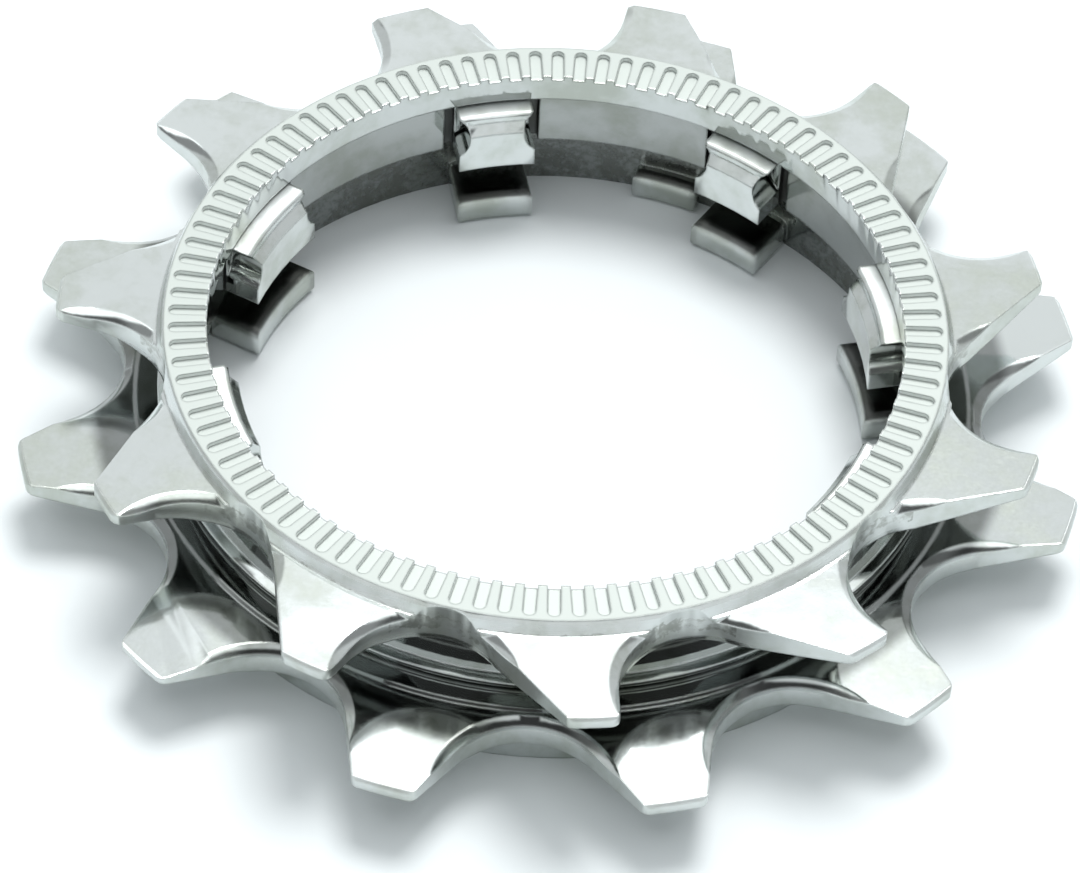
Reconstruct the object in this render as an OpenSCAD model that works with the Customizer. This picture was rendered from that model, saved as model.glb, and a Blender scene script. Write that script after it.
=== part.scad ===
// Two smallest cogs of a bicycle cassette, stacked on one spline.
// The origin is the centre of the rest face, +Z points to the knurled lock face.

/* [Chain fit] */
// Chain pitch, mm
chain_pitch = 12.7; // [12.6:0.05:12.8]
// Radius of the roller seat between two teeth, mm
seat_r = 3.9; // [3.85:0.05:4.05]
// Radius that rounds both corners of a tooth tip, seen from above, mm
tip_round = 0.5; // [0.3:0.05:0.6]
// Size of the chamfer on the upper edge of every tooth tip, mm
tip_chamfer = 0.15; // [0.1:0.05:0.3]
// Thickness of every tooth at its tip, mm
tip_t = 0.6; // [0.5:0.05:0.9]
// Length of the bevel under each tooth that thins it to the tip, mm
under_bevel = 4; // [3:0.25:4.5]
// Width of the chamfer round the root of every tooth gap, mm
root_chamfer_w = 0.45; // [0.3:0.05:0.7]
// Depth of that chamfer, mm
root_chamfer_d = 0.3; // [0.2:0.05:0.5]

/* [Stack] */
// Distance from the face of one tooth plate to the same face of the next, mm
cog_spacing = 4.1; // [4:0.05:4.5]
// Thickness of each tooth plate, mm
plate_t = 1.55; // [1.5:0.05:1.8]
// How far the knurled face stands above the small cog's tooth plate, mm
lock_rise = 0.75; // [0.6:0.05:1]
// How far the large cog's hub stands above its tooth plate, mm
land_rise = 0.15; // [0.1:0.05:0.3]
// Depth of the large cog's hub under its tooth plate, mm
boss_h = 2.1; // [1.8:0.05:2.4]

/* [Small cog] */
// Number of teeth on the small cog
small_teeth = 11; // [11:1:11]
// Radius over its tooth tips, mm
small_tip_r = 23.8; // [23.5:0.05:24]
// Radius over the lowered teeth that let the chain climb, mm
low_tip_r = 22.95; // [22.8:0.05:23.2]
// Angle of its first tooth gap, degrees
small_phase = 158.6; // [155:0.2:165]
// Width of the tip of one tooth before it is rounded, mm
small_tip_w = 2.3; // [1.8:0.1:2.8]
// How far each tooth leans to one side, degrees
small_lean = 3.25; // [0:0.25:4]
// Outer radius of the collar that spaces the two cogs, mm
collar_r = 18.45; // [18.2:0.05:18.5]
// Inner radius of that collar, between the splines, mm
collar_bore_r = 16.9; // [16.8:0.05:17]
// Radius of the flange at the foot of the collar, mm
foot_r = 18.95; // [18.8:0.05:19.2]
// Height of that flange, mm
foot_h = 0.4; // [0.3:0.05:0.6]
// Chamfer above and below that flange, mm
foot_chamfer = 0.15; // [0.1:0.05:0.25]

/* [Lock face] */
// Radius of the smooth seat at the mouth of the bore, mm
mouth_r = 16.55; // [16.4:0.05:16.65]
// Depth of that seat, mm
mouth_h = 1.55; // [1.3:0.05:1.7]
// Outer radius of the flat lock face, mm
face_r = 18.6; // [18.5:0.05:18.7]
// Outer radius of the bevel where it meets the tooth plate, mm
bevel_r = 18.95; // [18.85:0.05:19.3]
// Number of grooves in the lock face
groove_count = 100; // [90:1:104]
// Width of one groove, mm
groove_w = 0.6; // [0.5:0.02:0.66]
// Depth of one groove, mm
groove_d = 0.25; // [0.15:0.05:0.3]
// Radius where the grooves end, mm
groove_end_r = 18.36; // [18.2:0.02:18.4]

/* [Large cog] */
// Number of teeth on the large cog
large_teeth = 12; // [12:1:12]
// Radius over its tooth tips, mm
large_tip_r = 25.75; // [25.5:0.05:25.95]
// Angle of its first tooth gap, degrees
large_phase = 119.2; // [115:0.2:125]
// Width of the tip of one tooth before it is rounded, mm
large_tip_w = 2.9; // [2.3:0.1:3.4]
// How far each tooth leans to one side, degrees
large_lean = 0.5; // [0:0.25:2]
// Radius of the raised land on top of its hub, mm
land_r = 20.1; // [19.8:0.05:20.3]
// Radius of the boss under its tooth plate, mm
boss_r = 19.75; // [19.6:0.05:20]
// Bore radius between its splines, mm
hub_bore_r = 18.1; // [17.8:0.05:18.3]
// Depth of the shift ramp milled into one tooth, mm
ramp_d = 0.25; // [0.15:0.05:0.5]
// Length of the slope that leads down to it, mm
ramp_run = 0.95; // [0.5:0.05:1.2]

/* [Spline] */
// Radius to the inner faces of all spline lugs, mm
lug_r = 15.15; // [15:0.05:15.4]
// Width of the narrow lugs, mm
narrow_lug_w = 3.8; // [3.4:0.05:4]
// Width of the wide lugs, mm
wide_lug_w = 5.3; // [5:0.05:5.6]
// Height of the large cog's lugs, mm
low_lug_h = 1.6; // [1.4:0.05:1.8]
// Radius that rounds the large cog's lugs, mm
low_lug_round = 0.35; // [0.25:0.05:0.6]
// Radius of the round relief cut into each side of a small cog's lug, mm
relief_r = 1.2; // [1:0.05:1.3]
// How deep that relief narrows the lug on each side, mm
relief_bite = 0.55; // [0.3:0.05:0.6]
// Width of the corner groove beside a small cog's lug, mm
corner_groove_w = 0.5; // [0.4:0.05:0.7]
// Depth of that groove in the wall, mm
corner_groove_d = 0.4; // [0.3:0.05:0.5]
// Inner radius of the short index ledge, mm
ledge_r = 17.2; // [17:0.05:17.4]
// Width of the index ledge, mm
ledge_w = 3.3; // [2.8:0.05:3.6]

/* [Hidden] */
$fn = 60;
cut = 1;
// Flat left between a root chamfer and the raised middle
rim_clear = 0.15;
// How far outside the tip circle the round of a tooth corner ends
tip_over = 0.01;
// Heights, all counted from the rest face
large_plate_z = boss_h;
large_face_z = large_plate_z + plate_t;
joint_z = large_face_z + land_rise;
small_face_z = large_face_z + cog_spacing;
small_plate_z = small_face_z - plate_t;
top_z = small_face_z + lock_rise;
mouth_z = top_z - mouth_h;
// Each lug: angle of its middle, and 1 for a wide one
LUGS = [[13.6, 1], [57.3, 0], [102.8, 0], [152.8, 1], [198.5, 1], [243, 0], [288, 0], [331, 1]];
ledge_at = 72.8;
low_teeth = [1, 2];
ramp_tooth = 8;
ramp_turn = -15;
ramp_start_r = large_tip_r - 3.2;
lug_bar_r = lug_r + 0.45;
lug_top_r = lug_r + 0.65;
lug_top_z = mouth_z - 0.1;
relief_z = lug_top_z - 1;

function unit(a) = [cos(a), sin(a)];
function lug_w(l) = l[1] == 1 ? wide_lug_w : narrow_lug_w;
function pitch_r(teeth) = chain_pitch / (2 * sin(180 / teeth));
// Half of the angle that one tooth tip of width w takes up
function half_tip(tip, w) = asin(w / 2 / tip);
// Slope of a flank that runs from the seat to the tip circle at angle a
function flank_slope(rp, tip, a) =
    let (d = tip * unit(a) - [rp, 0]) atan2(d[1], d[0]) - asin(seat_r / norm(d));
// Centre of the round that joins a flank of slope s to the tip circle
function corner_c(rp, s, tip) =
    let (u = unit(s), b = [rp, 0] + (seat_r + tip_round) * unit(s + 90), bu = b * u)
    b + (sqrt(bu * bu - b * b + (tip - tip_round) ^ 2) - bu) * u;
// Points up one flank: seat, rounded corner, then straight out past the tips
function flank(rp, s, tip) =
    let (c = corner_c(rp, s, tip + tip_over), a1 = atan2(c[1], c[0]), a0 = s - 90, n = 3)
    concat([[rp, 0] + seat_r * unit(s + 90)],
           [for (i = [0:n]) c + tip_round * unit(a0 + (a1 - a0) * i / n)],
           [unit(a1) * (tip + cut)]);
function mirror_y(p) = [for (i = [len(p) - 1:-1:0]) [p[i][0], -p[i][1]]];

// One gap between two teeth, its middle along +X
module gap(teeth, tip, tip_w, lean) {
    rp = pitch_r(teeth);
    half = 180 / teeth - half_tip(tip, tip_w);
    translate([rp, 0]) circle(r = seat_r, $fn = 32);
    polygon(concat(flank(rp, flank_slope(rp, tip, half + lean), tip),
                   mirror_y(flank(rp, flank_slope(rp, tip, half - lean), tip))));
}

// Prism that cuts every tooth gap between two heights
module gaps(teeth, tip, phase, tip_w, lean, z0, z1) {
    translate([0, 0, z0]) linear_extrude(z1 - z0)
        for (k = [0:teeth - 1]) rotate(phase - k * 360 / teeth) gap(teeth, tip, tip_w, lean);
}

// Chamfers round the roots of all gaps, outside a radius that stays whole
module root_chamfers(teeth, phase, face_z, whole_r) {
    difference() {
        for (i = [0:teeth - 1]) rotate(phase - i * 360 / teeth)
            translate([pitch_r(teeth), 0, face_z - root_chamfer_d])
                cylinder(r1 = seat_r, r2 = seat_r + 2 * root_chamfer_w, h = 2 * root_chamfer_d,
                         $fn = 24);
        translate([0, 0, face_z - 2 * cut]) cylinder(r = whole_r, h = 4 * cut);
    }
}

// Section of a round plate that is thinned from below towards its rim
module plate_section(r, z0) {
    polygon([[1, z0], [r - under_bevel, z0], [r, z0 + plate_t - tip_t],
             [r, z0 + plate_t - tip_chamfer], [r - tip_chamfer, z0 + plate_t], [1, z0 + plate_t]]);
}

// Plan of all lugs, from radius r0 outwards, widened on both sides by more
module lug_plan(r0, r1, more = 0) {
    for (l = LUGS) rotate(l[0]) translate([r0, -lug_w(l) / 2 - more])
        square([r1 - r0, lug_w(l) + 2 * more]);
}

// Everything of the small cog that is round about the axis
module small_blank() {
    rotate_extrude() union() {
        plate_section(small_tip_r, small_plate_z);
        polygon([[1, joint_z], [foot_r - foot_chamfer, joint_z], [foot_r, joint_z + foot_chamfer],
                 [foot_r, joint_z + foot_h], [collar_r, joint_z + foot_h + foot_chamfer],
                 [collar_r, small_plate_z + 0.1], [1, small_plate_z + 0.1]]);
        polygon([[1, small_face_z - 0.1], [bevel_r, small_face_z - 0.1], [bevel_r, small_face_z],
                 [(bevel_r + face_r) / 2, top_z - 0.2], [face_r, top_z], [1, top_z]]);
    }
}

// Tops of the teeth that are lowered
module low_tips() {
    translate([0, 0, small_plate_z - cut]) linear_extrude(plate_t + 2 * cut)
        for (k = low_teeth) rotate(small_phase - (k + 0.5) * 360 / small_teeth + small_lean)
            intersection() {
                difference() {
                    circle(r = small_tip_r + cut);
                    circle(r = low_tip_r);
                }
                polygon([[0, 0], 2 * small_tip_r * unit(-180 / small_teeth),
                         2 * small_tip_r * unit(180 / small_teeth)]);
            }
}

// Lugs of the small cog, with a stepped top edge
module small_lugs() {
    intersection() {
        rotate_extrude() polygon([[lug_r, joint_z], [collar_bore_r + 0.2, joint_z],
            [collar_bore_r + 0.2, lug_top_z], [lug_top_r, lug_top_z], [lug_bar_r, lug_top_z - 0.12],
            [lug_bar_r, lug_top_z - 0.4], [lug_r, lug_top_z - 0.85]]);
        translate([0, 0, joint_z - cut]) linear_extrude(top_z)
            lug_plan(lug_r - 2, collar_bore_r + 2);
    }
}

// Round reliefs that narrow each small lug under its top
module small_reliefs() {
    for (l = LUGS, s = [-1, 1]) rotate(l[0])
        translate([lug_r - 2, s * (lug_w(l) / 2 + relief_r - relief_bite), relief_z])
            rotate([0, 90, 0]) cylinder(r = relief_r, h = collar_bore_r - lug_r + 3, $fn = 32);
}

// Grooves in the wall beside each small lug
module corner_grooves() {
    r1 = collar_bore_r + corner_groove_d;
    translate([0, 0, joint_z - cut]) linear_extrude(lug_top_z - joint_z + cut)
        intersection() {
            circle(r = r1);
            difference() {
                lug_plan(lug_r, r1 + 1, corner_groove_w);
                lug_plan(lug_r - 1, r1 + 2);
            }
        }
}

// Grooves of the lock face, each with a round outer end
module lock_grooves() {
    translate([0, 0, top_z - groove_d]) linear_extrude(groove_d + cut)
        for (k = [0:groove_count - 1]) rotate((k + 0.5) * 360 / groove_count) {
            translate([mouth_r - cut, -groove_w / 2])
                square([groove_end_r - groove_w / 2 - mouth_r + cut, groove_w]);
            translate([groove_end_r - groove_w / 2, 0]) circle(d = groove_w, $fn = 14);
        }
}

module small_cog() {
    color([0.80, 0.82, 0.80]) difference() {
        union() {
            difference() {
                small_blank();
                translate([0, 0, joint_z - cut]) cylinder(r = collar_bore_r, h = mouth_z - joint_z + cut);
                translate([0, 0, joint_z - cut]) cylinder(r = mouth_r, h = top_z - joint_z + 2 * cut);
                gaps(small_teeth, small_tip_r, small_phase, small_tip_w, small_lean,
                     small_plate_z - cut, top_z + cut);
                root_chamfers(small_teeth, small_phase, small_face_z, bevel_r + rim_clear);
                low_tips();
            }
            difference() {
                small_lugs();
                small_reliefs();
            }
        }
        corner_grooves();
        lock_grooves();
    }
}

// Everything of the large cog that is round about the axis
module large_blank() {
    rotate_extrude() union() {
        plate_section(large_tip_r, large_plate_z);
        polygon([[1, 0], [boss_r, 0], [boss_r, large_plate_z + 0.1], [1, large_plate_z + 0.1]]);
        polygon([[1, large_face_z - 0.1], [land_r, large_face_z - 0.1], [land_r, large_face_z],
                 [land_r - land_rise, joint_z], [1, joint_z]]);
    }
}

// Slanting step milled across one tooth so that the chain can climb
module shift_ramp() {
    rotate(large_phase - (ramp_tooth + 0.5) * 360 / large_teeth + large_lean)
        translate([ramp_start_r, 0, 0]) rotate(ramp_turn) rotate([90, 0, 0])
            translate([0, 0, -seat_r - cut]) linear_extrude(2 * seat_r + 2 * cut)
                polygon([[0, large_face_z], [ramp_run, large_face_z - ramp_d],
                         [2 * seat_r, large_face_z - ramp_d], [2 * seat_r, joint_z + cut],
                         [0, joint_z + cut]]);
}

// Section of a block between two radii with its inner edges rounded
module rounded_section(r0, r1, h, rr) {
    for (z = [rr, h - rr]) translate([r0 + rr, z]) circle(r = rr, $fn = 20);
    translate([r0, rr]) square([r1 - r0, h - 2 * rr]);
    translate([r0 + rr, 0]) square([r1 - r0 - rr, h]);
}

// Lugs and index ledge of the large cog
module large_lug(at, w, r0) {
    rr = low_lug_round;
    intersection() {
        rotate_extrude() rounded_section(r0, hub_bore_r + 0.2, low_lug_h, rr);
        rotate(at) translate([0, 0, -cut]) linear_extrude(low_lug_h + 2 * cut) {
            translate([r0 - 1, -w / 2]) square([hub_bore_r + 2 - r0, w]);
        }
        rotate(at) rotate([90, 0, 90]) translate([0, 0, r0 - 2]) linear_extrude(hub_bore_r + 3 - r0) {
            for (y = [-1, 1], z = [rr, low_lug_h - rr]) translate([y * (w / 2 - rr), z])
                circle(r = rr, $fn = 20);
            translate([-w / 2, rr]) square([w, low_lug_h - 2 * rr]);
            translate([-w / 2 + rr, 0]) square([w - 2 * rr, low_lug_h]);
        }
    }
}

module large_cog() {
    color([0.78, 0.80, 0.78]) union() {
        difference() {
            large_blank();
            translate([0, 0, -cut]) cylinder(r = hub_bore_r, h = joint_z + 2 * cut);
            gaps(large_teeth, large_tip_r, large_phase, large_tip_w, large_lean,
                 large_plate_z - cut, joint_z + cut);
            root_chamfers(large_teeth, large_phase, large_face_z, land_r + rim_clear);
            shift_ramp();
        }
        for (l = LUGS) large_lug(l[0], lug_w(l), lug_r);
        large_lug(ledge_at, ledge_w, ledge_r);
    }
}

small_cog();
large_cog();
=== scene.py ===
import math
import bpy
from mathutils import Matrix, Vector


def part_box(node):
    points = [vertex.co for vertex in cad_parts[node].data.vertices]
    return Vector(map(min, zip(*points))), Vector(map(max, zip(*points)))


bl_info = {
    "name": "Cassette cog",
    "version": (1, 0, 0),
    "blender": (4, 5, 0),
    "location": "View3D > Sidebar > Cog",
    "description": "Gives the two stacked cogs their plated steel finish and sets them on a pale "
                   "floor",
    "category": "Object",
}

from collections import namedtuple

import bpy
from mathutils import Matrix, Vector

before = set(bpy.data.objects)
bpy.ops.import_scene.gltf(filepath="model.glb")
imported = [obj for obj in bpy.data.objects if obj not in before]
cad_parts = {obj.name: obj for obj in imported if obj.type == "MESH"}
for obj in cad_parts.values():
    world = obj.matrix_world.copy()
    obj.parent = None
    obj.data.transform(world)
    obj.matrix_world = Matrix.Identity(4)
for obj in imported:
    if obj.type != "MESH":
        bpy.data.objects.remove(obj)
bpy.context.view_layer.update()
SMALL_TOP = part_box("small_cog")[1].z
LARGE_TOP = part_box("large_cog")[1].z

# Zones of a cog that have a finish or painted shade of their own. Heights are above the rest face
# and radii from
#  the axis of the bore, all in metres. Walls are bore walls between the radii lug and bore.
Torn = namedtuple("Torn", "low high inner outer darkness")
# The recess zone holds painted shade: darker plating in the gap between the cogs.
Recess = namedtuple("Recess", "edge_z deep_z edge_r deep_r darkness")
LockFace = namedtuple("LockFace", "lip top inner outer")
Zones = namedtuple("Zones", "lug bore tip torn recess lock_face")

SMALL_ZONES = Zones(
    lug=0.0164, bore=0.0172, tip=0.0238,
    torn=Torn(low=SMALL_TOP - 0.0016, high=SMALL_TOP - 0.0007, inner=0.0186, outer=0.0197,
              darkness=0.6),
    recess=Recess(edge_z=0.0066, deep_z=0.0062, edge_r=0.0182, deep_r=0.0183, darkness=0.3),
    lock_face=LockFace(lip=SMALL_TOP - 0.00155, top=SMALL_TOP, inner=0.0166, outer=0.01868))
LARGE_ZONES = Zones(
    lug=0.0178, bore=0.0183, tip=0.02575,
    torn=Torn(low=0.0, high=LARGE_TOP - 0.0006, inner=0.0178, outer=0.0183, darkness=0.6),
    recess=Recess(edge_z=0.0030, deep_z=0.0034, edge_r=0.0225, deep_r=0.0216, darkness=1.0),
    lock_face=None)

# In the next lines, unless a comment says otherwise, a pair is where a change starts and where it
# is in full. First the radius outside which walls are tooth flanks, and how far inside the tip
# the worn edge starts.
FLANK_START, TIP_WEAR_EDGE = 0.0185, (0.00022, 0.00014)
# Heights of the tops of the large cog's lugs, which are painted with shade.
LOW_LUG_TOPS = (0.00140, 0.00155)

# Depths below the top of the lock face: groove floors, groove sides, foot of the matt face.
GROOVE_FLOOR, GROOVE_FLOOR_MATT = (0.00024, 0.0001), 0.95
GROOVE_SIDE_FOOT, GROOVE_SIDE_HEAD = (0.00024, 0.00020), (0.00003, 0.00008)
LOCK_FACE_FOOT = (0.00073, 0.00070)
# Blur at the inner and outer rim of the lock face, and to each side of the lip of the bore.
INNER_BLUR, OUTER_BLUR, LIP_BLUR = 0.00005, 0.0001, 0.00002
# The sawn lug tops lie between two depths below that lip. The corners beside the lugs, painted
# with shade, lie deeper than one depth and between two radii.
SAWN_TOP = (0.00018, 0.00002)
SHADED_CORNER_DEPTH, SHADED_CORNER_RADII = 0.00009, (0.01696, 0.0175)

BLACK = (0.0, 0.0, 0.0, 1.0)
# Painted shade: a near-black colour, its amount and the roughness of the shaded corners, laid on
# the tops of the large cog's lugs and in the corners beside the small cog's lugs.
PAINTED_SHADE_COLOUR = (0.02, 0.02, 0.018, 1.0)
# Painted light that lightens the shaded sides of the grooves.
GROOVE_SIDE_PAINTED_LIGHT = (0.85, 0.88, 0.86, 1.0)
PAINTED_SHADE_AMOUNT, SHADED_CORNER_ROUGHNESS = 0.85, 0.5

# Marks on the steel: sizes in metres, heights as shares of WAVE_DEPTH.
CLOUD_AMOUNT = 0.9
FINE_CLOUD_SIZE, FINE_CLOUD_SHARE, CLOUD_EDGE = 0.0009, 0.25, (0.40, 0.66)
LATHE_PITCH = 0.00018
WAVE_SIZE, WAVE_DEPTH = 0.0028, 0.000005
LATHE_HEIGHT, TORN_HEIGHT = 0.02, 0.6
TORN_ROUGHNESS = 0.2
BEVEL_SAMPLES = 4

# Mesh clean-up before the edges are rounded: metres and radians.
WELD_DISTANCE = 0.000002
FLAT_ANGLE = 0.009

FLOOR_RADIUS, FLOOR_CORNERS, FLOOR_DROP = 1.5, 64, 0.00002
FLOOR_ROUGHNESS, FLOOR_SPECULAR = 0.6, 0.2
FLECK_SIZE, FLECK_EDGE, FLECK_TONE = 0.004, (0.3, 0.7), 0.99
KEY_PLACE, KEY_AIM, KEY_SIZE = (0.05, 0.20, 0.55), (0, 0, 0), 0.27
CAMERA_RISE, CAMERA_ROLL = math.radians(47.83), math.radians(2.98)
CAMERA_REACH, CAMERA_AIM = 0.257, (-0.00049, -0.00747, 0.0085)
CAMERA_SENSOR, CAMERA_NEAR = 36, 0.01

# The light tent by direction. Heights are sines of the angle above the horizon. A turn is 1
# straight behind and -1 in front. Left and right are the x of the direction.
BEHIND_TURN, FRONT_TURN = (0.74, 0.88), (-0.3, -0.7)
WALL_HEIGHT, WALL_LEVEL = (0.66, 0.752), (1.12, 1.0)
STRIP_LEFT, STRIP_RIGHT = (-0.057, -0.049), (0.080, 0.072)
STRIP_HEIGHT, STRIP_LEVEL = (0.753, 0.760), (0.0, 0.9)
ROOM_HEIGHT, ROOM_SIDE_LEVEL, ROOM_FRONT_LEVEL = (0.56, 0.62), (0.75, 0.35), (0.95, 0.12)
ROOF_SIDE_HEIGHT, ROOF_FRONT_HEIGHT = (0.79, 0.84), (0.83, 0.88)
ZENITH_HEIGHT, ROOF_LEVEL = (0.92, 0.965), (1.9, 1.25)


class CogSteelSettings(bpy.types.PropertyGroup):
    """Colours and finish of the plated steel."""

    plate_colour: bpy.props.FloatVectorProperty(
        name="Plate colour", description="Colour of the bright plating", subtype="COLOR",
        size=3, min=0, max=1, default=(0.66, 0.69, 0.68))
    cloud_colour: bpy.props.FloatVectorProperty(
        name="Cloud colour", description="Colour of the duller clouds in the plating",
        subtype="COLOR", size=3, min=0, max=1, default=(0.47, 0.50, 0.45))
    stain_colour: bpy.props.FloatVectorProperty(
        name="Stain colour", description="Colour left on torn edges",
        subtype="COLOR", size=3, min=0, max=1, default=(0.26, 0.27, 0.24))
    cloud_size: bpy.props.FloatProperty(
        name="Cloud size", description="Width of one cloud in the plating", unit="LENGTH",
        min=0.001, max=0.03, precision=4, default=0.005)
    grain_size: bpy.props.FloatProperty(
        name="Grain size", description="Width of the finest grain of the steel",
        unit="LENGTH", min=0.00002, max=0.001, precision=6, default=0.00012)
    polish: bpy.props.FloatProperty(
        name="Polish", description="Roughness of the best polished faces", subtype="FACTOR",
        min=0.02, max=0.6, default=0.08)
    satin: bpy.props.FloatProperty(
        name="Satin", description="Roughness of the dull clouds", subtype="FACTOR",
        min=0.05, max=0.8, default=0.17)
    lock_face_colour: bpy.props.FloatVectorProperty(
        name="Lock face colour", description="Colour of the matt face with the grooves",
        subtype="COLOR", size=3, min=0, max=1, default=(0.42, 0.45, 0.43))
    lock_face_matt: bpy.props.FloatProperty(
        name="Lock face matt", description="Roughness of the face with the grooves",
        subtype="FACTOR", min=0.05, max=0.9, default=0.62)
    # Bore tone is partly the duller cut steel and partly painted shade on the bore walls; lip
    # tone is the brighter turned lip.
    bore_tone: bpy.props.FloatProperty(
        name="Bore tone",
        description="How bright the cut bore walls are beside the polished faces",
        subtype="FACTOR", min=0.2, max=1, default=0.56)
    lug_top_matt: bpy.props.FloatProperty(
        name="Lug top matt", description="Roughness of the sawn tops of the small cog's lugs",
        subtype="FACTOR", min=0.05, max=0.8, default=0.45)
    flank_satin: bpy.props.FloatProperty(
        name="Flank satin", description="Roughness of the cut flanks of the teeth",
        subtype="FACTOR", min=0.05, max=0.8, default=0.32)
    tip_wear: bpy.props.FloatProperty(
        name="Tip wear", description="Roughness of the worn edge round the tooth tips",
        subtype="FACTOR", min=0.05, max=0.8, default=0.4)
    # Painted shade in the gap between the cogs.
    recess_tone: bpy.props.FloatProperty(
        name="Recess tone", description="How bright the plating is in the gap between the cogs",
        subtype="FACTOR", min=0.1, max=1, default=0.4)
    lip_tone: bpy.props.FloatProperty(
        name="Lip tone", description="How bright the turned wall at the mouth of the bore is",
        subtype="FACTOR", min=0.2, max=1, default=0.88)


class CogEdgeSettings(bpy.types.PropertyGroup):
    """Rounding of the sharp edges."""

    edge_width: bpy.props.FloatProperty(
        name="Edge width", description="Width of the rounding on every sharp edge",
        unit="LENGTH", min=0, max=0.0005, precision=6, default=0.00018)
    edge_angle: bpy.props.FloatProperty(
        name="Edge angle", description="Edges sharper than this are rounded",
        subtype="ANGLE", min=0.1, max=1.5, default=0.5)
    edge_softness: bpy.props.FloatProperty(
        name="Edge softness", description="Radius over which the tumbled edges catch the light",
        unit="LENGTH", min=0, max=0.0006, precision=6, default=0.00015)
    lug_softness: bpy.props.FloatProperty(
        name="Lug softness", description="The same radius for the lugs of the large cog",
        unit="LENGTH", min=0, max=0.0012, precision=6, default=0.0008)


class CogStageSettings(bpy.types.PropertyGroup):
    """Floor, lamp, light tent and camera."""

    floor_colour: bpy.props.FloatVectorProperty(
        name="Floor colour", description="Colour of the pale floor", subtype="COLOR",
        size=3, min=0, max=1, default=(0.74, 0.775, 0.785))
    tent_colour: bpy.props.FloatVectorProperty(
        name="Tent colour", description="Colour of the light tent round the object",
        subtype="COLOR", size=3, min=0, max=1, default=(0.95, 0.985, 1.0))
    key_power: bpy.props.FloatProperty(
        name="Key lamp", description="Power of the soft lamp above and behind",
        unit="POWER", min=0, max=20, default=2.35)
    lens: bpy.props.FloatProperty(
        name="Lens", description="Focal length of the camera, millimetres", min=20, max=400,
        default=184.25)


SOCKET_KINDS = {"value": "NodeSocketFloat", "colour": "NodeSocketColor",
                "vector": "NodeSocketVector"}


def group_tree(name, inputs, outputs):
    """An empty node group, its inputs made from (name, kind, default), outputs (name, kind)."""
    tree = bpy.data.node_groups.new(name, "ShaderNodeTree")
    for label, kind, default in inputs:
        socket = tree.interface.new_socket(
            label, in_out="INPUT", socket_type=SOCKET_KINDS[kind])
        if default is not None:
            socket.default_value = default
    for label, kind in outputs:
        tree.interface.new_socket(label, in_out="OUTPUT", socket_type=SOCKET_KINDS[kind])
    source, sink = tree.nodes.new("NodeGroupInput"), tree.nodes.new("NodeGroupOutput")
    return tree, source.outputs, sink.inputs


class Wiring:
    """Short calls that add nodes to one tree and wire them."""

    # First input and the output that a Mix node uses for each kind of data.
    MIX_SOCKETS = {"FLOAT": (2, 0), "RGBA": (6, 2)}

    def __init__(self, tree):
        self.tree = tree

    def plug(self, value, socket):
        """Links a socket to a value that changes, or sets it to a constant."""
        if isinstance(value, bpy.types.NodeSocket):
            self.tree.links.new(value, socket)
        elif value is not None:
            socket.default_value = value

    def math(self, operation, a, b=None, clamp=False):
        node = self.tree.nodes.new("ShaderNodeMath")
        node.operation = operation
        node.use_clamp = clamp
        for value, socket in zip((a, b), node.inputs):
            self.plug(value, socket)
        return node.outputs[0]

    def add(self, a, b, clamp=False):
        return self.math("ADD", a, b, clamp)

    def subtract(self, a, b):
        return self.math("SUBTRACT", a, b)

    def multiply(self, first, *others):
        for other in others:
            first = self.math("MULTIPLY", first, other)
        return first

    def largest(self, a, b):
        return self.math("MAXIMUM", a, b)

    def more(self, value, limit):
        return self.math("GREATER_THAN", value, limit)

    def less(self, value, limit):
        return self.math("LESS_THAN", value, limit)

    def mix(self, kind, factor, a, b):
        node = self.tree.nodes.new("ShaderNodeMix")
        node.data_type = kind
        first, result = self.MIX_SOCKETS[kind]
        self.plug(factor, node.inputs[0])
        self.plug(a, node.inputs[first])
        self.plug(b, node.inputs[first + 1])
        return node.outputs[result]

    def mix_colour(self, factor, a, b):
        return self.mix("RGBA", factor, a, b)

    def mix_value(self, factor, a, b):
        return self.mix("FLOAT", factor, a, b)

    def darken(self, mask, tone, colour):
        """The colour, brought down to the given tone where the mask is 1."""
        return self.mix_colour(mask, colour, self.mix_colour(tone, BLACK, colour))

    def roughen(self, rough, mask, least):
        """The roughness, raised to the least one where the mask is 1."""
        return self.largest(rough, self.multiply(mask, least))

    def smooth_range(self, value, low, high, out_low=0.0, out_high=1.0):
        node = self.tree.nodes.new("ShaderNodeMapRange")
        node.interpolation_type = "SMOOTHSTEP"
        for v, socket in zip((value, low, high, out_low, out_high), node.inputs):
            self.plug(v, socket)
        return node.outputs[0]

    def noise(self, place, size, detail=2.0, roughness=0.5, distortion=0.0):
        """Noise whose features are about one size wide, in metres."""
        node = self.tree.nodes.new("ShaderNodeTexNoise")
        self.plug(place, node.inputs["Vector"])
        if isinstance(size, bpy.types.NodeSocket):
            scale = self.math("DIVIDE", 1.0, size)
        else:
            scale = 1.0 / size
        self.plug(scale, node.inputs["Scale"])
        node.inputs["Detail"].default_value = detail
        node.inputs["Roughness"].default_value = roughness
        node.inputs["Distortion"].default_value = distortion
        return node.outputs["Fac"]

    def split(self, vector):
        """The x, y and z of a vector."""
        node = self.tree.nodes.new("ShaderNodeSeparateXYZ")
        self.plug(vector, node.inputs[0])
        return node.outputs

    def flat_length(self, x, y):
        """Length of the part of a vector that lies flat."""
        return self.math("SQRT", self.add(self.multiply(x, x), self.multiply(y, y)))

    def group(self, tree, **values):
        """Places a node group. An underscore in a name stands for a space in the socket's."""
        node = self.tree.nodes.new("ShaderNodeGroup")
        node.node_tree = tree
        for label, value in values.items():
            self.plug(value, node.inputs[label.replace("_", " ")])
        return node.outputs


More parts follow.
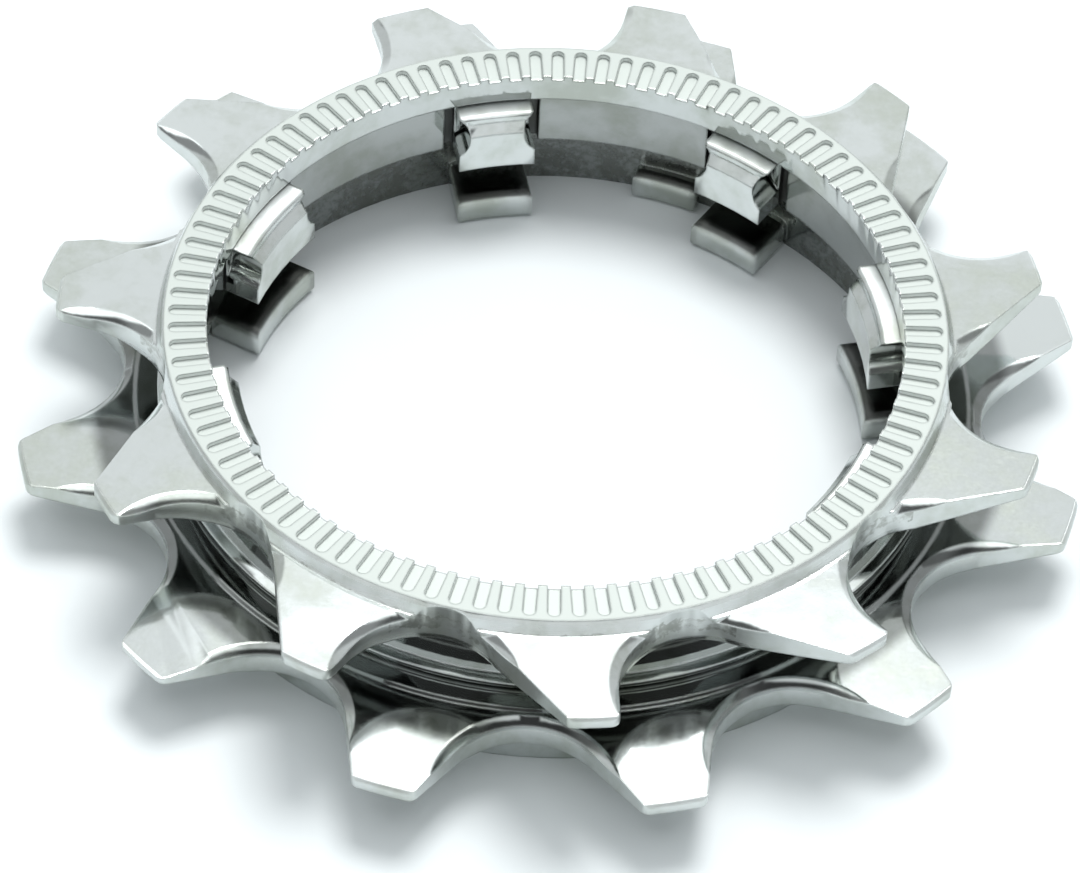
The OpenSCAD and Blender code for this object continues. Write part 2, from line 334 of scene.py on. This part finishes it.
def plating_cloud():
    """Soft duller clouds in the plating, and a mask of where they are."""
    tree, source, sink = group_tree(
        "plating cloud",
        [("Place", "vector", None), ("Size", "value", 0.006),
         ("Bright", "colour", (0.8, 0.8, 0.8, 1)), ("Dull", "colour", (0.6, 0.6, 0.6, 1)),
         ("Amount", "value", 0.6)],
        [("Colour", "colour"), ("Mask", "value")])
    w = Wiring(tree)
    wide = w.noise(source["Place"], source["Size"], detail=4.0, roughness=0.55, distortion=0.4)
    fine = w.noise(source["Place"], FINE_CLOUD_SIZE, detail=3.0, roughness=0.6)
    both = w.add(w.multiply(wide, 1 - FINE_CLOUD_SHARE), w.multiply(fine, FINE_CLOUD_SHARE))
    mask = w.multiply(w.smooth_range(both, *CLOUD_EDGE), source["Amount"])
    w.plug(mask, sink["Mask"])
    w.plug(w.mix_colour(mask, source["Bright"], source["Dull"]), sink["Colour"])
    return tree


def hand_marks():
    """Grain, soft waves and a few fine scratches of a finished steel face."""
    scratch_size, scratch_turn, scratch_stretch = 0.0016, (0.3, 0.1, 0.7), (1.0, 14.0, 1.0)
    scratch_edge, scratch_amount = (0.69, 0.73), 0.5
    scratch_roughness, scratch_depth = 0.12, 0.03
    grain_roughness, grain_height = 0.10, 0.06
    tree, source, sink = group_tree(
        "hand marks",
        [("Place", "vector", None), ("Grain", "value", 0.00012), ("Wave", "value", 0.0025),
         ("Polish", "value", 0.12), ("Satin", "value", 0.25), ("Mask", "value", 0.5)],
        [("Roughness", "value"), ("Height", "value")])
    w = Wiring(tree)
    place = source["Place"]
    grain = w.noise(place, source["Grain"], roughness=0.6)
    wave = w.noise(place, source["Wave"], roughness=0.45)
    stretch = tree.nodes.new("ShaderNodeMapping")
    stretch.inputs["Rotation"].default_value = scratch_turn
    stretch.inputs["Scale"].default_value = scratch_stretch
    w.plug(place, stretch.inputs["Vector"])
    line = w.noise(stretch.outputs[0], scratch_size, detail=3.0)
    scratch = w.multiply(w.smooth_range(line, *scratch_edge), scratch_amount)
    rough = w.mix_value(source["Mask"], source["Polish"], source["Satin"])
    rough = w.add(rough, w.multiply(w.subtract(grain, 0.5), grain_roughness))
    rough = w.add(rough, w.multiply(scratch, scratch_roughness), clamp=True)
    height = w.add(w.multiply(grain, grain_height), wave)
    height = w.subtract(height, w.multiply(scratch, scratch_depth))
    w.plug(rough, sink["Roughness"])
    w.plug(height, sink["Height"])
    return tree


def lathe_lines():
    """Fine turning lines on round walls and flat rings about the axis."""
    wall_facing = (0.75, 0.35)
    tree, source, sink = group_tree(
        "lathe lines",
        [("Place", "vector", None), ("Facing", "vector", None), ("Pitch", "value", LATHE_PITCH)],
        [("Height", "value"), ("Wall", "value"), ("Radius", "value")])
    w = Wiring(tree)
    x, y, z = w.split(source["Place"])
    radius = w.flat_length(x, y)
    up = w.math("ABSOLUTE", w.split(source["Facing"])[2])
    wall = w.smooth_range(up, *wall_facing)
    line = tree.nodes.new("ShaderNodeTexNoise")
    line.noise_dimensions = "1D"
    line.inputs["Scale"].default_value = 1.0
    line.inputs["Detail"].default_value = 2.0
    w.plug(w.math("DIVIDE", w.mix_value(wall, radius, z), source["Pitch"]), line.inputs["W"])
    w.plug(line.outputs["Fac"], sink["Height"])
    w.plug(wall, sink["Wall"])
    w.plug(radius, sink["Radius"])
    return tree


def torn_edge():
    """Rough torn band that a punch leaves on a wall, between two heights and two radii."""
    flake_size, smear_size = 0.00035, 0.0016
    edge_swing, edge_blur, rim_swing, rim_width = 0.0012, 0.00006, 0.0003, (0.00011, 0.00003)
    flakes_kept, rim_kept = (0.8, 1.15), (0.42, 0.52)
    tree, source, sink = group_tree(
        "torn edge",
        [("Place", "vector", None), ("Wall", "value", 0.0), ("Radius", "value", 0.01),
         ("Low", "value", 0.0), ("High", "value", 0.01), ("Inner", "value", 0.0),
         ("Outer", "value", 0.02)],
        [("Mask", "value"), ("Height", "value")])
    w = Wiring(tree)
    low, high = source["Low"], source["High"]
    flake = w.noise(source["Place"], flake_size, detail=3.0, roughness=0.65)
    smear = w.noise(source["Place"], smear_size, detail=3.0, roughness=0.6)
    ragged = w.multiply(w.subtract(flake, 0.5), edge_swing)
    z = w.add(w.split(source["Place"])[2], ragged)
    inside = w.multiply(w.less(source["Radius"], source["Outer"]),
                        w.more(source["Radius"], source["Inner"]))
    band = w.multiply(w.smooth_range(z, low, w.add(low, edge_blur)),
                      w.smooth_range(z, high, w.subtract(high, edge_blur)),
                      source["Wall"], inside)
    flakes = w.multiply(band, w.smooth_range(w.add(flake, smear), *flakes_kept))
    from_rim = w.math("ABSOLUTE", w.subtract(w.add(z, w.multiply(smear, rim_swing)), high))
    rim = w.multiply(w.smooth_range(from_rim, *rim_width), w.smooth_range(smear, *rim_kept),
                     inside, source["Wall"])
    mask = w.largest(flakes, rim)
    w.plug(mask, sink["Mask"])
    w.plug(w.multiply(mask, flake), sink["Height"])
    return tree


def shaded_cut_wall():
    """Darker tone of the bore walls, cut through the steel between two radii: partly the duller
    cut steel, partly painted shade.
    """
    tree, source, sink = group_tree(
        "shaded cut wall",
        [("Colour", "colour", None), ("Wall", "value", 0.0), ("Radius", "value", 0.01),
         ("Inner", "value", 0.0), ("Outer", "value", 0.02), ("Tone", "value", 0.5)],
        [("Colour", "colour")])
    w = Wiring(tree)
    cut = w.multiply(source["Wall"], w.less(source["Radius"], source["Outer"]),
                     w.more(source["Radius"], source["Inner"]))
    w.plug(w.darken(cut, source["Tone"], source["Colour"]), sink["Colour"])
    return tree


def satin_flank():
    """Satin roughness of the walls outside a radius."""
    tree, source, sink = group_tree(
        "satin flank",
        [("Roughness", "value", 0.1), ("Wall", "value", 0.0), ("Radius", "value", 0.01),
         ("Start", "value", 0.02), ("Satin", "value", 0.3)],
        [("Roughness", "value")])
    w = Wiring(tree)
    flank = w.multiply(source["Wall"], w.more(source["Radius"], source["Start"]))
    w.plug(w.roughen(source["Roughness"], flank, source["Satin"]), sink["Roughness"])
    return tree


def painted_recess_shade():
    """Painted shade: darker, still polished plating in the gap between the cogs."""
    tree, source, sink = group_tree(
        "painted recess shade",
        [("Colour", "colour", None), ("Roughness", "value", 0.1), ("Level", "value", 0.0),
         ("Radius", "value", 0.01), ("Edge level", "value", 0.0), ("Deep level", "value", 0.01),
         ("Edge radius", "value", 0.0), ("Deep radius", "value", 0.01),
         ("Darkness", "value", 1.0), ("Tone", "value", 0.5), ("Polish", "value", 0.1)],
        [("Colour", "colour"), ("Roughness", "value")])
    w = Wiring(tree)
    deep = w.multiply(
        w.smooth_range(source["Level"], source["Edge level"], source["Deep level"]),
        w.smooth_range(source["Radius"], source["Edge radius"], source["Deep radius"]))
    w.plug(w.darken(w.multiply(deep, source["Darkness"]), source["Tone"], source["Colour"]),
           sink["Colour"])
    w.plug(w.mix_value(deep, source["Roughness"], source["Polish"]), sink["Roughness"])
    return tree


def tip_wear():
    """Worn edge round the tooth tips, from one radius to another."""
    tree, source, sink = group_tree(
        "tip wear",
        [("Roughness", "value", 0.1), ("Radius", "value", 0.01), ("Start", "value", 0.02),
         ("Full", "value", 0.021), ("Wear", "value", 0.4)],
        [("Roughness", "value")])
    w = Wiring(tree)
    worn = w.smooth_range(source["Radius"], source["Start"], source["Full"])
    w.plug(w.roughen(source["Roughness"], worn, source["Wear"]), sink["Roughness"])
    return tree


EFFECTS = {"plating cloud": plating_cloud, "hand marks": hand_marks,
           "lathe lines": lathe_lines, "torn edge": torn_edge, "shaded cut wall": shaded_cut_wall,
           "satin flank": satin_flank, "painted recess shade": painted_recess_shade, "tip wear": tip_wear}


def effect(name):
    """One of the effects that both cogs use, built once."""
    return bpy.data.node_groups.get(name) or EFFECTS[name]()


def finish_lock_face(w, colour, rough, zones, radius, z):
    """Matt grooved face with painted light on the groove sides, sawn lug tops and painted shade
    in the corners beside the small cog's lugs.
    """
    steel = bpy.context.scene.cog_steel
    lip, top, inner, outer = zones.lock_face
    ring = w.multiply(w.smooth_range(radius, inner, inner + INNER_BLUR),
                      w.smooth_range(radius, outer, outer - OUTER_BLUR))
    floors = w.smooth_range(z, top - GROOVE_FLOOR[0], top - GROOVE_FLOOR[1],
                            GROOVE_FLOOR_MATT, 1.0)
    foot = w.smooth_range(z, top - LOCK_FACE_FOOT[0], top - LOCK_FACE_FOOT[1])
    matt = w.multiply(ring, floors, foot)
    colour = w.mix_colour(matt, colour, (*steel.lock_face_colour, 1))
    # Painted light on the groove sides, which lightens their shade.
    groove_side_light = w.multiply(
        w.smooth_range(z, top - GROOVE_SIDE_FOOT[0], top - GROOVE_SIDE_FOOT[1]),
        w.smooth_range(z, top - GROOVE_SIDE_HEAD[0], top - GROOVE_SIDE_HEAD[1]), ring)
    colour = w.mix_colour(groove_side_light, colour, GROOVE_SIDE_PAINTED_LIGHT)
    sawn = w.multiply(w.less(radius, zones.bore), w.more(z, lip - SAWN_TOP[0]),
                      w.less(z, lip - SAWN_TOP[1]))
    rough = w.roughen(rough, sawn, steel.lug_top_matt)
    # Painted shade in the corners beside the lugs.
    corner = w.multiply(w.more(radius, SHADED_CORNER_RADII[0]),
                        w.less(radius, SHADED_CORNER_RADII[1]),
                        w.less(z, lip - SHADED_CORNER_DEPTH))
    colour = w.mix_colour(w.multiply(corner, PAINTED_SHADE_AMOUNT), colour, PAINTED_SHADE_COLOUR)
    rough = w.roughen(rough, corner, SHADED_CORNER_ROUGHNESS)
    return colour, w.roughen(rough, matt, steel.lock_face_matt)


def softened_normal(w, height, softness):
    """Normal with soft edges of the given radius and the marks that height holds."""
    soft = w.tree.nodes.new("ShaderNodeBevel")
    soft.samples = BEVEL_SAMPLES
    w.plug(softness, soft.inputs["Radius"])
    bump = w.tree.nodes.new("ShaderNodeBump")
    bump.inputs["Strength"].default_value = 1.0
    bump.inputs["Distance"].default_value = WAVE_DEPTH
    w.plug(height, bump.inputs["Height"])
    w.plug(soft.outputs["Normal"], bump.inputs["Normal"])
    return bump.outputs["Normal"]


def plated_steel(name, zones):
    """Bright plated steel of one cog, with the finish of each of its zones and the painted light
    and shade laid on some of them.
    """
    steel, edges = bpy.context.scene.cog_steel, bpy.context.scene.cog_edge
    material = bpy.data.materials.new(name)
    material.use_nodes = True
    tree = material.node_tree
    shader = tree.nodes["Principled BSDF"]
    shader.inputs["Metallic"].default_value = 1.0
    w = Wiring(tree)
    where = tree.nodes.new("ShaderNodeTexCoord").outputs
    place, z = where["Object"], w.split(where["Object"])[2]
    lines = w.group(effect("lathe lines"), Place=place, Facing=where["Normal"],
                    Pitch=LATHE_PITCH)
    wall, radius = lines["Wall"], lines["Radius"]
    cloud = w.group(effect("plating cloud"), Place=place, Size=steel.cloud_size,
                    Bright=(*steel.plate_colour, 1), Dull=(*steel.cloud_colour, 1),
                    Amount=CLOUD_AMOUNT)
    hand = w.group(effect("hand marks"), Place=place, Grain=steel.grain_size, Wave=WAVE_SIZE,
                   Polish=steel.polish, Satin=steel.satin, Mask=cloud["Mask"])
    torn = zones.torn
    rip = w.group(effect("torn edge"), Place=place, Wall=wall, Radius=radius, Low=torn.low,
                  High=torn.high, Inner=torn.inner, Outer=torn.outer)
    colour = w.mix_colour(w.multiply(rip["Mask"], torn.darkness), cloud["Colour"],
                          (*steel.stain_colour, 1))
    rough = w.add(hand["Roughness"], w.multiply(rip["Mask"], TORN_ROUGHNESS))

    # The bore walls are darkened, partly for the duller cut steel and partly as painted shade;
    # the turned lip stays brighter.
    tone = steel.bore_tone
    if zones.lock_face:
        lip = zones.lock_face.lip
        mouth = w.smooth_range(z, lip - LIP_BLUR, lip + LIP_BLUR)
        tone = w.mix_value(mouth, steel.bore_tone, steel.lip_tone)
    colour = w.group(effect("shaded cut wall"), Colour=colour, Wall=wall, Radius=radius,
                     Inner=zones.lug, Outer=zones.bore, Tone=tone)["Colour"]
    softness = edges.edge_softness
    if zones.lock_face:
        colour, rough = finish_lock_face(w, colour, rough, zones, radius, z)
    else:
        lug = w.less(radius, zones.lug)
        # Painted shade on the tops of the large cog's lugs, which lie under the small cog's lugs.
        tops = w.multiply(w.smooth_range(z, *LOW_LUG_TOPS), lug)
        colour = w.mix_colour(w.multiply(tops, PAINTED_SHADE_AMOUNT), colour, PAINTED_SHADE_COLOUR)
        softness = w.mix_value(lug, softness, edges.lug_softness)

    rough = w.group(effect("satin flank"), Roughness=rough, Wall=wall, Radius=radius,
                    Start=FLANK_START, Satin=steel.flank_satin)["Roughness"]
    # Painted shade in the recess between the cogs.
    recess = zones.recess
    deep = w.group(effect("painted recess shade"), Colour=colour, Roughness=rough, Level=z,
                   Radius=radius, Edge_level=recess.edge_z, Deep_level=recess.deep_z,
                   Edge_radius=recess.edge_r, Deep_radius=recess.deep_r,
                   Darkness=recess.darkness, Tone=steel.recess_tone, Polish=steel.polish)
    worn = w.group(effect("tip wear"), Roughness=deep["Roughness"], Radius=radius,
                   Start=zones.tip - TIP_WEAR_EDGE[0], Full=zones.tip - TIP_WEAR_EDGE[1],
                   Wear=steel.tip_wear)
    w.plug(deep["Colour"], shader.inputs["Base Color"])
    w.plug(worn["Roughness"], shader.inputs["Roughness"])

    height = w.add(hand["Height"], w.multiply(lines["Height"], LATHE_HEIGHT))
    height = w.add(height, w.multiply(rip["Height"], TORN_HEIGHT))
    w.plug(softened_normal(w, height, softness), shader.inputs["Normal"])
    return material


def round_edges(cog):
    """Rounds the sharp edges of a cog without touching its own mesh."""
    edges = bpy.context.scene.cog_edge
    weld = cog.modifiers.new("join faces", "WELD")
    weld.merge_threshold = WELD_DISTANCE
    flat = cog.modifiers.new("flat faces", "DECIMATE")
    flat.decimate_type = "DISSOLVE"
    flat.angle_limit = FLAT_ANGLE
    bevel = cog.modifiers.new("edge rounding", "BEVEL")
    bevel.width = edges.edge_width
    bevel.segments = 2
    bevel.limit_method = "ANGLE"
    bevel.angle_limit = edges.edge_angle
    cog.modifiers.new("even shading", "WEIGHTED_NORMAL")


def dress(node, material):
    """Gives one cog its material and rounded edges."""
    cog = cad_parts[node]
    cog.data.materials.clear()
    cog.data.materials.append(material)
    round_edges(cog)


class COG_OT_small_cog(bpy.types.Operator):
    """Finish the small cog in plated steel"""

    bl_idname = "cog.small_cog"
    bl_label = "Small cog"

    def execute(self, context):
        dress("small_cog", plated_steel("small cog steel", SMALL_ZONES))
        return {"FINISHED"}


class COG_OT_large_cog(bpy.types.Operator):
    """Finish the large cog in plated steel"""

    bl_idname = "cog.large_cog"
    bl_label = "Large cog"

    def execute(self, context):
        dress("large_cog", plated_steel("large cog steel", LARGE_ZONES))
        return {"FINISHED"}


def floor_material(colour):
    """Pale matt floor with very faint flecks."""
    material = bpy.data.materials.new("pale floor")
    material.use_nodes = True
    tree = material.node_tree
    shader = tree.nodes["Principled BSDF"]
    w = Wiring(tree)
    place = tree.nodes.new("ShaderNodeTexCoord").outputs["Object"]
    fleck = w.smooth_range(w.noise(place, FLECK_SIZE, detail=3.0), *FLECK_EDGE)
    dull = [part * FLECK_TONE for part in colour]
    w.plug(w.mix_colour(fleck, (*colour, 1), (*dull, 1)), shader.inputs["Base Color"])
    shader.inputs["Roughness"].default_value = FLOOR_ROUGHNESS
    shader.inputs["Specular IOR Level"].default_value = FLOOR_SPECULAR
    return material


def add_floor(colour):
    """Round floor a hair below the rest face."""
    ring = []
    for i in range(FLOOR_CORNERS):
        a = 2 * math.pi * i / FLOOR_CORNERS
        ring.append((FLOOR_RADIUS * math.cos(a), FLOOR_RADIUS * math.sin(a), -FLOOR_DROP))
    mesh = bpy.data.meshes.new("floor")
    mesh.from_pydata(ring, [], [tuple(range(FLOOR_CORNERS))])
    mesh.materials.append(floor_material(colour))
    floor = bpy.data.objects.new("floor", mesh)
    bpy.context.scene.collection.objects.link(floor)


def light_tent(colour):
    """World that is a light tent: a bright roof, a wall behind and a dim room elsewhere.

    Polished steel mirrors it, so its level in a direction sets the tone of the faces that mirror
    that direction.
    """
    world = bpy.data.worlds.new("light tent")
    bpy.context.scene.world = world
    world.use_nodes = True
    tree = world.node_tree
    w = Wiring(tree)
    x, y, z = w.split(tree.nodes.new("ShaderNodeTexCoord").outputs["Generated"])
    turn = w.math("DIVIDE", y, w.largest(w.flat_length(x, y), 0.01))
    behind, front = w.smooth_range(turn, *BEHIND_TURN), w.smooth_range(turn, *FRONT_TURN)

    wall_level = w.smooth_range(z, *WALL_HEIGHT, *WALL_LEVEL)
    strip_width = w.multiply(w.smooth_range(x, *STRIP_LEFT), w.smooth_range(x, *STRIP_RIGHT))
    strip = w.multiply(w.smooth_range(z, *STRIP_HEIGHT, *STRIP_LEVEL), strip_width)
    room_low, room_high = (w.mix_value(front, side, ahead)
                           for side, ahead in zip(ROOM_SIDE_LEVEL, ROOM_FRONT_LEVEL))
    room_level = w.smooth_range(z, *ROOM_HEIGHT, room_low, room_high)
    level = w.mix_value(behind, room_level, w.add(wall_level, strip))

    roof_edge = w.mix_value(front, w.smooth_range(z, *ROOF_SIDE_HEIGHT),
                            w.smooth_range(z, *ROOF_FRONT_HEIGHT))
    level = w.mix_value(roof_edge, level, w.smooth_range(z, *ZENITH_HEIGHT, *ROOF_LEVEL))
    background = tree.nodes["Background"]
    background.inputs["Color"].default_value = (*colour, 1)
    w.plug(level, background.inputs["Strength"])


def add_lamp(name, place, aim, size, power):
    """Round soft lamp."""
    lamp = bpy.data.lights.new(name, "AREA")
    lamp.shape = "DISK"
    lamp.size = size
    lamp.energy = power
    obj = bpy.data.objects.new(name, lamp)
    obj.location = place
    obj.rotation_mode = "QUATERNION"
    obj.rotation_quaternion = (Vector(aim) - Vector(place)).to_track_quat("-Z", "Y")
    bpy.context.scene.collection.objects.link(obj)


def add_camera(lens):
    """Camera at the photograph's angle."""
    aim = Vector(CAMERA_AIM)
    back = Vector((0, -math.cos(CAMERA_RISE), math.sin(CAMERA_RISE)))
    right, up = Vector((1, 0, 0)), Vector((0, math.sin(CAMERA_RISE), math.cos(CAMERA_RISE)))
    across = right * math.cos(CAMERA_ROLL) + up * math.sin(CAMERA_ROLL)
    upward = up * math.cos(CAMERA_ROLL) - right * math.sin(CAMERA_ROLL)
    place = aim + back * CAMERA_REACH
    camera = bpy.data.objects.new("camera", bpy.data.cameras.new("camera"))
    camera.data.lens = lens
    camera.data.sensor_width = CAMERA_SENSOR
    camera.data.clip_start = CAMERA_NEAR
    camera.matrix_world = Matrix((
        (across.x, upward.x, back.x, place.x),
        (across.y, upward.y, back.y, place.y),
        (across.z, upward.z, back.z, place.z),
        (0, 0, 0, 1)))
    bpy.context.scene.collection.objects.link(camera)
    bpy.context.scene.camera = camera


class COG_OT_stage(bpy.types.Operator):
    """Add the floor, the light tent, the lamp and the camera"""

    bl_idname = "cog.stage"
    bl_label = "Stage"

    def execute(self, context):
        stage = context.scene.cog_stage
        context.scene.view_settings.view_transform = "Standard"
        add_floor(stage.floor_colour)
        light_tent(stage.tent_colour)
        add_lamp("key lamp", KEY_PLACE, KEY_AIM, KEY_SIZE, stage.key_power)
        add_camera(stage.lens)
        return {"FINISHED"}


class COG_PT_panel(bpy.types.Panel):
    """Sizes, finishes and build steps of the cassette cog"""

    bl_idname = "COG_PT_panel"
    bl_label = "Cassette cog"
    bl_space_type = "VIEW_3D"
    bl_region_type = "UI"
    bl_category = "Cog"

    def draw(self, context):
        for label in GROUPS:
            group = getattr(context.scene, label)
            box = self.layout.box()
            for name in group.bl_rna.properties.keys():
                if name not in {"rna_type", "name"}:
                    box.prop(group, name)
        for step in STEPS:
            self.layout.operator(step.bl_idname)


STEPS = (COG_OT_small_cog, COG_OT_large_cog, COG_OT_stage)
GROUPS = {"cog_steel": CogSteelSettings, "cog_edge": CogEdgeSettings,
          "cog_stage": CogStageSettings}


def register():
    for cls in (*GROUPS.values(), *STEPS, COG_PT_panel):
        bpy.utils.register_class(cls)
    for name, group in GROUPS.items():
        setattr(bpy.types.Scene, name, bpy.props.PointerProperty(type=group))


def unregister():
    for name in GROUPS:
        delattr(bpy.types.Scene, name)
    for cls in reversed((*GROUPS.values(), *STEPS, COG_PT_panel)):
        bpy.utils.unregister_class(cls)


def main():
    register()
    bpy.ops.cog.small_cog()
    bpy.ops.cog.large_cog()
    bpy.ops.cog.stage()
    bpy.context.view_layer.update()


if __name__ == "__main__":
    main()
